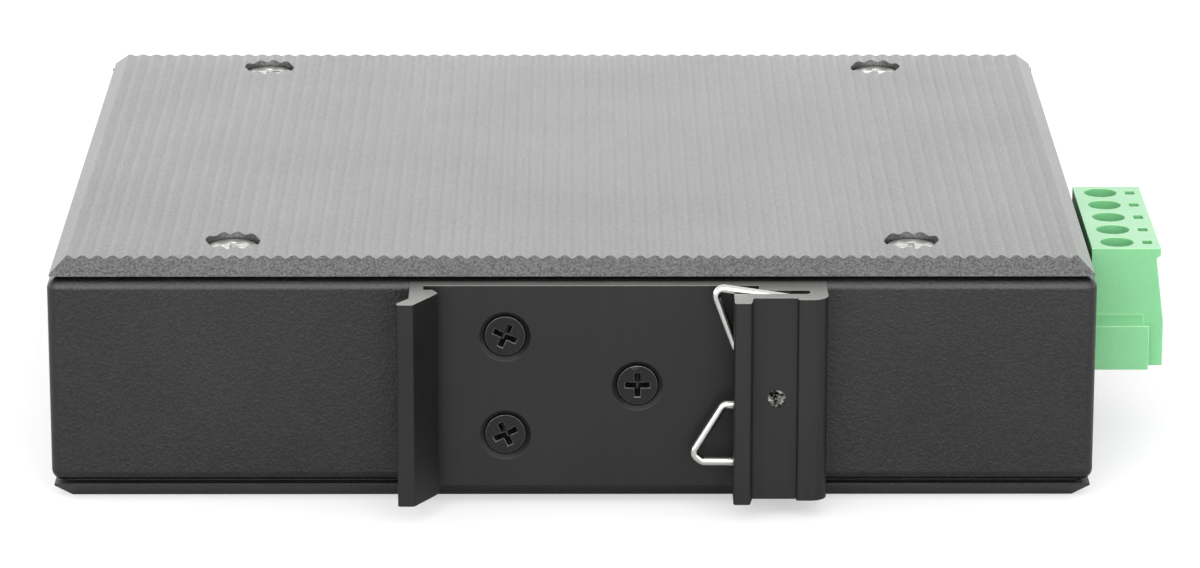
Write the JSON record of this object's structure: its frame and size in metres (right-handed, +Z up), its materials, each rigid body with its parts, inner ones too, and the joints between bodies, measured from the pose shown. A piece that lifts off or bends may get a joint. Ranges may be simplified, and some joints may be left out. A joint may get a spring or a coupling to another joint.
{
  "type": "din rail ethernet switch",
  "caption": "Flat black metal ethernet switch for a mounting rail: ribbed bevelled covers, aluminium rail clip with wire spring, green pluggable screw terminal, network ports in front.",
  "frame": {"origin": "centre of the rail grip, on the seat face of the rail clip, at half the height of the case", "axes": "+Z up out of the upper cover as it lies on its lower cover, +Y from the rail through the case to the network ports, +X to the power plug; the rail runs along Z"},
  "size_m": [0.1228, 0.1029, 0.0274],
  "materials": {
    "cover_aluminium": "black anodised extrusion, satin",
    "cover_screw_steel": "nickel plated",
    "case_steel": "fine textured powder coat, black",
    "clip_aluminium": "black anodised, satin",
    "clip_screw_steel": "black oxide",
    "spring_steel": "bright spring wire",
    "board_laminate": "solder mask",
    "standoff_steel": "zinc plated",
    "chip_epoxy": "moulded epoxy",
    "can_metal": "drawn can",
    "jack_plastic": "moulded",
    "shield_metal": "nickel plated sheet",
    "contact_gold": "gold plated",
    "light_lens": "clear moulded lens",
    "connector_plastic": "moulded polyamide, green",
    "tinned_copper": "tin plated",
    "clamp_steel": "zinc plated"
  },
  "bodies": {
    "case": {"upper_cover": "cover_aluminium", "lower_cover": "cover_aluminium", "upper_cover_screws": "cover_screw_steel", "lower_cover_screws": "cover_screw_steel", "case_frame": "case_steel", "front_panel": "case_steel", "din_clip": "clip_aluminium", "clip_screws": "clip_screw_steel", "clip_spring": "spring_steel", "circuit_board": "board_laminate", "board_standoffs": "standoff_steel", "board_screws": "standoff_steel", "switch_chip": "chip_epoxy", "power_inductor": "chip_epoxy", "crystal": "can_metal", "capacitor": "can_metal", "jack_housing_1": "jack_plastic", "jack_housing_2": "jack_plastic", "jack_housing_3": "jack_plastic", "jack_housing_4": "jack_plastic", "jack_housing_5": "jack_plastic", "light_holder": "jack_plastic", "jack_shield_1": "shield_metal", "jack_shield_2": "shield_metal", "jack_shield_3": "shield_metal", "jack_shield_4": "shield_metal", "jack_shield_5": "shield_metal", "jack_contacts_1": "contact_gold", "jack_contacts_2": "contact_gold", "jack_contacts_3": "contact_gold", "jack_contacts_4": "contact_gold", "jack_contacts_5": "contact_gold", "status_lights": "light_lens", "terminal_header": "connector_plastic", "header_pin_1": "tinned_copper", "header_pin_2": "tinned_copper", "header_pin_3": "tinned_copper", "header_pin_4": "tinned_copper", "header_pin_5": "tinned_copper"},
    "plug": {"terminal_plug": "connector_plastic", "plug_contact_1": "tinned_copper", "plug_contact_2": "tinned_copper", "plug_contact_3": "tinned_copper", "plug_contact_4": "tinned_copper", "plug_contact_5": "tinned_copper"},
    "screw_1": {"clamp_screw_1": "clamp_steel"},
    "cage_1": {"clamp_cage_1": "clamp_steel"},
    "screw_2": {"clamp_screw_2": "clamp_steel"},
    "cage_2": {"clamp_cage_2": "clamp_steel"},
    "screw_3": {"clamp_screw_3": "clamp_steel"},
    "cage_3": {"clamp_cage_3": "clamp_steel"},
    "screw_4": {"clamp_screw_4": "clamp_steel"},
    "cage_4": {"clamp_cage_4": "clamp_steel"},
    "screw_5": {"clamp_screw_5": "clamp_steel"},
    "cage_5": {"clamp_cage_5": "clamp_steel"}
  },
  "joints": [
    {"name": "plug_pull", "type": "slide", "parent": "case", "child": "plug", "axis": [1, 0, 0], "range_m": [0, 0.012]},
    {"name": "screw_turn_1", "type": "hinge", "parent": "plug", "child": "screw_1", "pos_m": [0.05908, 0.01574, 0], "axis": [0, 0, -1], "range_deg": [0, 1656]},
    {"name": "cage_lift_1", "type": "slide", "parent": "plug", "child": "cage_1", "axis": [0, 0, 1], "range_m": [0, 0.0023]},
    {"name": "screw_turn_2", "type": "hinge", "parent": "plug", "child": "screw_2", "pos_m": [0.05908, 0.02082, 0], "axis": [0, 0, -1], "range_deg": [0, 1656]},
    {"name": "cage_lift_2", "type": "slide", "parent": "plug", "child": "cage_2", "axis": [0, 0, 1], "range_m": [0, 0.0023]},
    {"name": "screw_turn_3", "type": "hinge", "parent": "plug", "child": "screw_3", "pos_m": [0.05908, 0.0259, 0], "axis": [0, 0, -1], "range_deg": [0, 1656]},
    {"name": "cage_lift_3", "type": "slide", "parent": "plug", "child": "cage_3", "axis": [0, 0, 1], "range_m": [0, 0.0023]},
    {"name": "screw_turn_4", "type": "hinge", "parent": "plug", "child": "screw_4", "pos_m": [0.05908, 0.03098, 0], "axis": [0, 0, -1], "range_deg": [0, 1656]},
    {"name": "cage_lift_4", "type": "slide", "parent": "plug", "child": "cage_4", "axis": [0, 0, 1], "range_m": [0, 0.0023]},
    {"name": "screw_turn_5", "type": "hinge", "parent": "plug", "child": "screw_5", "pos_m": [0.05908, 0.03606, 0], "axis": [0, 0, -1], "range_deg": [0, 1656]},
    {"name": "cage_lift_5", "type": "slide", "parent": "plug", "child": "cage_5", "axis": [0, 0, 1], "range_m": [0, 0.0023]}
  ],
  "couplings": [
    {"joint": "screw_turn_1", "follows": "cage_lift_1", "rad_per_m": 12566},
    {"joint": "screw_turn_2", "follows": "cage_lift_2", "rad_per_m": 12566},
    {"joint": "screw_turn_3", "follows": "cage_lift_3", "rad_per_m": 12566},
    {"joint": "screw_turn_4", "follows": "cage_lift_4", "rad_per_m": 12566},
    {"joint": "screw_turn_5", "follows": "cage_lift_5", "rad_per_m": 12566}
  ]
}
